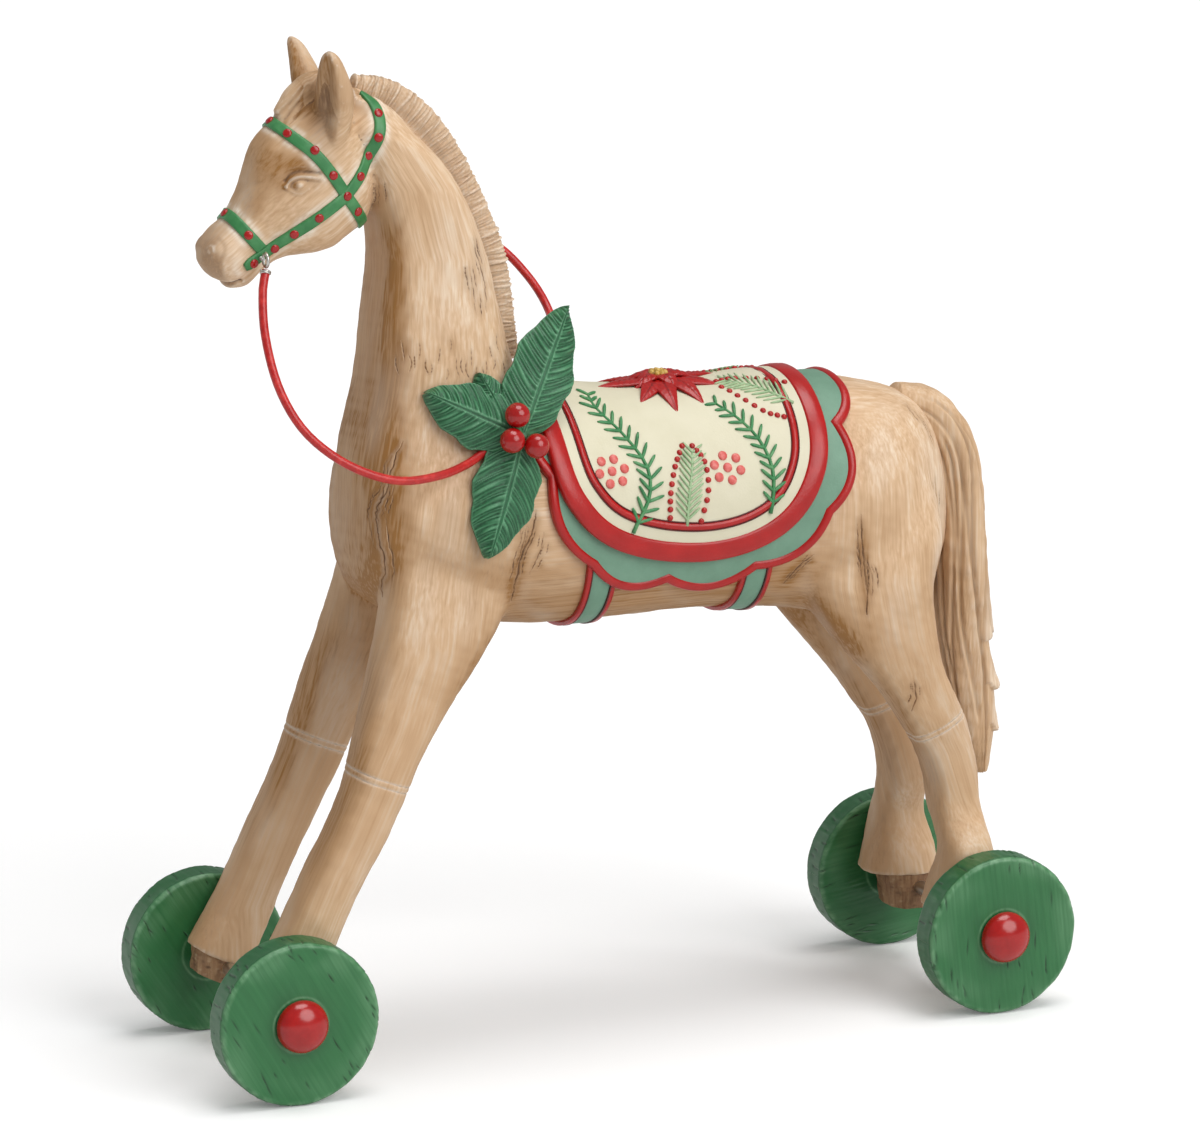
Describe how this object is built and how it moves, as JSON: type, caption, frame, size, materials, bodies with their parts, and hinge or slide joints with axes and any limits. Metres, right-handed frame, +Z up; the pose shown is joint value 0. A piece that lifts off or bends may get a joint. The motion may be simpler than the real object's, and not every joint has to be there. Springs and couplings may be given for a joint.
{
  "type": "toy horse on wheels",
  "caption": "Carved wood-look horse on round wooden wheels, with a painted saddle blanket, studded bridle, cord rein and holly sprig; the wheels turn on fixed axles.",
  "frame": {"origin": "on the floor, midway between the wheels", "axes": "+X forward towards the head, +Y to the horse's left, +Z up"},
  "size_m": [0.392, 0.144, 0.4301],
  "materials": {
    "carved_wood": "lime-washed carved wood, pale tan with brown grain and carved cracks",
    "hoof_wood": "brown stained wood",
    "dowel_wood": "plain turned dowel",
    "blanket_paint": "sage green matt paint on carved wood",
    "red_trim": "red satin paint on a raised carved edge",
    "cream_cover": "cream satin paint with embossed sprigs",
    "green_girth": "green satin paint on a raised carved band",
    "gold_beads": "gold beads",
    "green_strap": "green satin paint on a raised carved band",
    "red_studs": "red glossy domes",
    "steel_wire": "bright twisted wire",
    "red_rein": "red glossy coated cord",
    "holly_green": "green painted veined leaf",
    "berry_red": "red glossy berry",
    "axle_steel": "plain round rod",
    "green_wheel": "worn green paint over cracked wood",
    "red_cap": "red gloss paint on turned wood"
  },
  "bodies": {
    "horse": {"torso": "carved_wood", "neck": "carved_wood", "head": "carved_wood", "mane": "carved_wood", "forelock": "carved_wood", "ear_left": "carved_wood", "ear_right": "carved_wood", "tail": "carved_wood", "leg_front_left": "carved_wood", "leg_front_right": "carved_wood", "leg_rear_left": "carved_wood", "leg_rear_right": "carved_wood", "hoof_front_left": "hoof_wood", "hoof_front_right": "hoof_wood", "hoof_rear_left": "hoof_wood", "hoof_rear_right": "hoof_wood", "neck_dowels": "dowel_wood", "head_dowel": "dowel_wood", "leg_dowels": "dowel_wood", "tail_dowel": "dowel_wood", "saddle_blanket": "blanket_paint", "blanket_piping": "red_trim", "cover_border": "red_trim", "cover_line": "red_trim", "girth_edging": "red_trim", "poinsettia_petals": "red_trim", "saddle_cover": "cream_cover", "girth_front": "green_girth", "girth_rear": "green_girth", "poinsettia_centre": "gold_beads", "noseband": "green_strap", "browband": "green_strap", "cheekpiece_left": "green_strap", "cheekpiece_right": "green_strap", "crownpiece_left": "green_strap", "crownpiece_right": "green_strap", "bridle_studs": "red_studs", "rein_eyelet_left": "steel_wire", "rein_eyelet_right": "steel_wire", "holly_pin": "steel_wire", "rein_left": "red_rein", "rein_right": "red_rein", "holly_leaf_front": "holly_green", "holly_leaf_small": "holly_green", "holly_leaf_upper": "holly_green", "holly_leaf_lower": "holly_green", "holly_berries": "berry_red", "axle_front": "axle_steel", "axle_rear": "axle_steel", "hub_cap_front_left": "red_cap", "hub_cap_front_right": "red_cap", "hub_cap_rear_left": "red_cap", "hub_cap_rear_right": "red_cap"},
    "wheel_front_left": {"wheel_front_left": "green_wheel"},
    "wheel_front_right": {"wheel_front_right": "green_wheel"},
    "wheel_rear_left": {"wheel_rear_left": "green_wheel"},
    "wheel_rear_right": {"wheel_rear_right": "green_wheel"}
  },
  "joints": [
    {"name": "wheel_front_left_spin", "type": "hinge", "parent": "horse", "child": "wheel_front_left", "pos_m": [0.161, 0.0557, 0.035], "axis": [0, 1, 0], "continuous": true},
    {"name": "wheel_front_right_spin", "type": "hinge", "parent": "horse", "child": "wheel_front_right", "pos_m": [0.161, -0.0557, 0.035], "axis": [0, 1, 0], "continuous": true},
    {"name": "wheel_rear_left_spin", "type": "hinge", "parent": "horse", "child": "wheel_rear_left", "pos_m": [-0.161, 0.0557, 0.035], "axis": [0, 1, 0], "continuous": true},
    {"name": "wheel_rear_right_spin", "type": "hinge", "parent": "horse", "child": "wheel_rear_right", "pos_m": [-0.161, -0.0557, 0.035], "axis": [0, 1, 0], "continuous": true}
  ]
}
